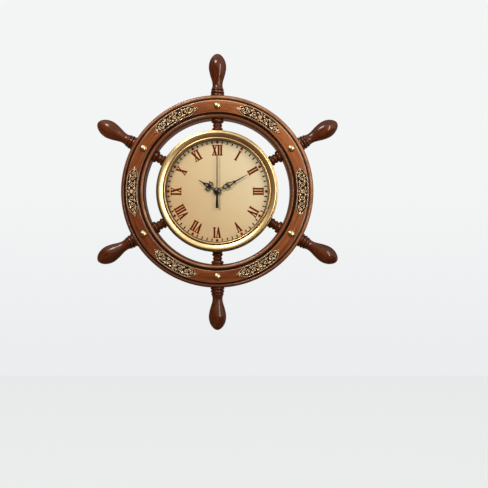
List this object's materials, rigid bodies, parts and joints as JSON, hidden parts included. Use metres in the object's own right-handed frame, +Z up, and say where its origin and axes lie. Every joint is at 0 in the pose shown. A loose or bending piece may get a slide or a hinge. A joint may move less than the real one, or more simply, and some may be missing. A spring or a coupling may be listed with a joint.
{
  "type": "ship wheel clock",
  "caption": "Wall clock shaped like a ship's wheel: a turned wooden rim with handles and spokes round a brass-bezelled dial with a geared quartz movement.",
  "frame": {"origin": "on the axis of the wall screw in the hanger's keyhole slot, in the plane of the wall, 138 mm above the wheel's axis", "axes": "+Y into the wall, away from the dial's viewer; +Z up to the handle above the twelve; +X to the three"},
  "size_m": [0.3908, 0.0378, 0.4494],
  "materials": {
    "mahogany": "red-brown turned hardwood, gloss varnish",
    "brass": "polished, lacquered",
    "gilt": "pale gilt, satin",
    "dial_enamel": "matt khaki gold",
    "black_enamel": "black, satin",
    "red_brown_enamel": "red brown, satin",
    "clear_glass": "clear mineral glass",
    "black_plastic": "moulded, fine matt",
    "white_plastic": "moulded gear plastic",
    "steel": "zinc plated",
    "magnet_black": "dark coated magnet",
    "copper_wire": "enamelled copper winding",
    "board_green": "green board",
    "battery_jacket": "dark plain jacket"
  },
  "bodies": {
    "clock": {"rim": "mahogany", "handle_1": "mahogany", "handle_2": "mahogany", "handle_3": "mahogany", "handle_4": "mahogany", "handle_5": "mahogany", "handle_6": "mahogany", "spoke_1": "mahogany", "spoke_2": "mahogany", "spoke_3": "mahogany", "spoke_4": "mahogany", "spoke_5": "mahogany", "spoke_6": "mahogany", "stud_1": "brass", "stud_2": "brass", "stud_3": "brass", "stud_4": "brass", "stud_5": "brass", "stud_6": "brass", "scroll_plate_1": "gilt", "scroll_plate_2": "gilt", "scroll_plate_3": "gilt", "scroll_plate_4": "gilt", "scroll_plate_5": "gilt", "scroll_plate_6": "gilt", "hanger_plate": "steel", "hanger_screw_1": "steel", "hanger_screw_2": "steel", "case_body": "mahogany", "bezel": "brass", "glass": "clear_glass", "spacer_ring": "brass", "dial": "dial_enamel", "bush_washer": "steel", "bush_nut": "brass", "movement_shell": "black_plastic", "movement_back_cover": "black_plastic", "battery": "battery_jacket", "battery_contact_plus": "steel", "battery_contact_minus": "steel", "train_bridge": "white_plastic", "stator": "steel", "coil_core": "steel", "coil": "copper_wire", "circuit_board": "board_green", "quartz_crystal": "steel"},
    "second_arbor": {"second_wheel": "white_plastic", "second_hand": "red_brown_enamel", "second_hand_cap": "black_enamel"},
    "fifth_arbor": {"fifth_wheel": "white_plastic"},
    "motor_rotor": {"rotor": "magnet_black"},
    "third_arbor": {"third_wheel": "white_plastic"},
    "minute_arbor": {"centre_wheel": "white_plastic", "minute_hand": "black_enamel", "minute_nut": "black_enamel"},
    "setting_arbor": {"minute_wheel": "white_plastic", "setting_knob": "black_plastic"},
    "hour_pipe": {"hour_wheel": "white_plastic", "hour_hand": "black_enamel"}
  },
  "joints": [
    {"name": "second_turn", "type": "hinge", "parent": "clock", "child": "second_arbor", "pos_m": [0, 0, -0.138], "axis": [0, 1, 0], "continuous": true},
    {"name": "fifth_turn", "type": "hinge", "parent": "clock", "child": "fifth_arbor", "pos_m": [-0.01009, 0, -0.13548], "axis": [0, 1, 0], "continuous": true},
    {"name": "rotor_turn", "type": "hinge", "parent": "clock", "child": "motor_rotor", "pos_m": [-0.01761, 0, -0.13275], "axis": [0, 1, 0], "continuous": true},
    {"name": "third_turn", "type": "hinge", "parent": "clock", "child": "third_arbor", "pos_m": [0, 0, -0.1276], "axis": [0, 1, 0], "continuous": true},
    {"name": "minute_turn", "type": "hinge", "parent": "clock", "child": "minute_arbor", "pos_m": [0, 0, -0.138], "axis": [0, 1, 0], "continuous": true},
    {"name": "setting_turn", "type": "hinge", "parent": "clock", "child": "setting_arbor", "pos_m": [0.01024, 0, -0.13619], "axis": [0, 1, 0], "continuous": true},
    {"name": "hour_turn", "type": "hinge", "parent": "clock", "child": "hour_pipe", "pos_m": [0, 0, -0.138], "axis": [0, 1, 0], "continuous": true}
  ],
  "couplings": [
    {"joint": "fifth_turn", "follows": "second_turn", "ratio": -6},
    {"joint": "rotor_turn", "follows": "second_turn", "ratio": 30},
    {"joint": "third_turn", "follows": "second_turn", "ratio": -0.13333},
    {"joint": "minute_turn", "follows": "second_turn", "ratio": 0.016667},
    {"joint": "setting_turn", "follows": "second_turn", "ratio": -0.0055556},
    {"joint": "hour_turn", "follows": "second_turn", "ratio": 0.0013889}
  ]
}
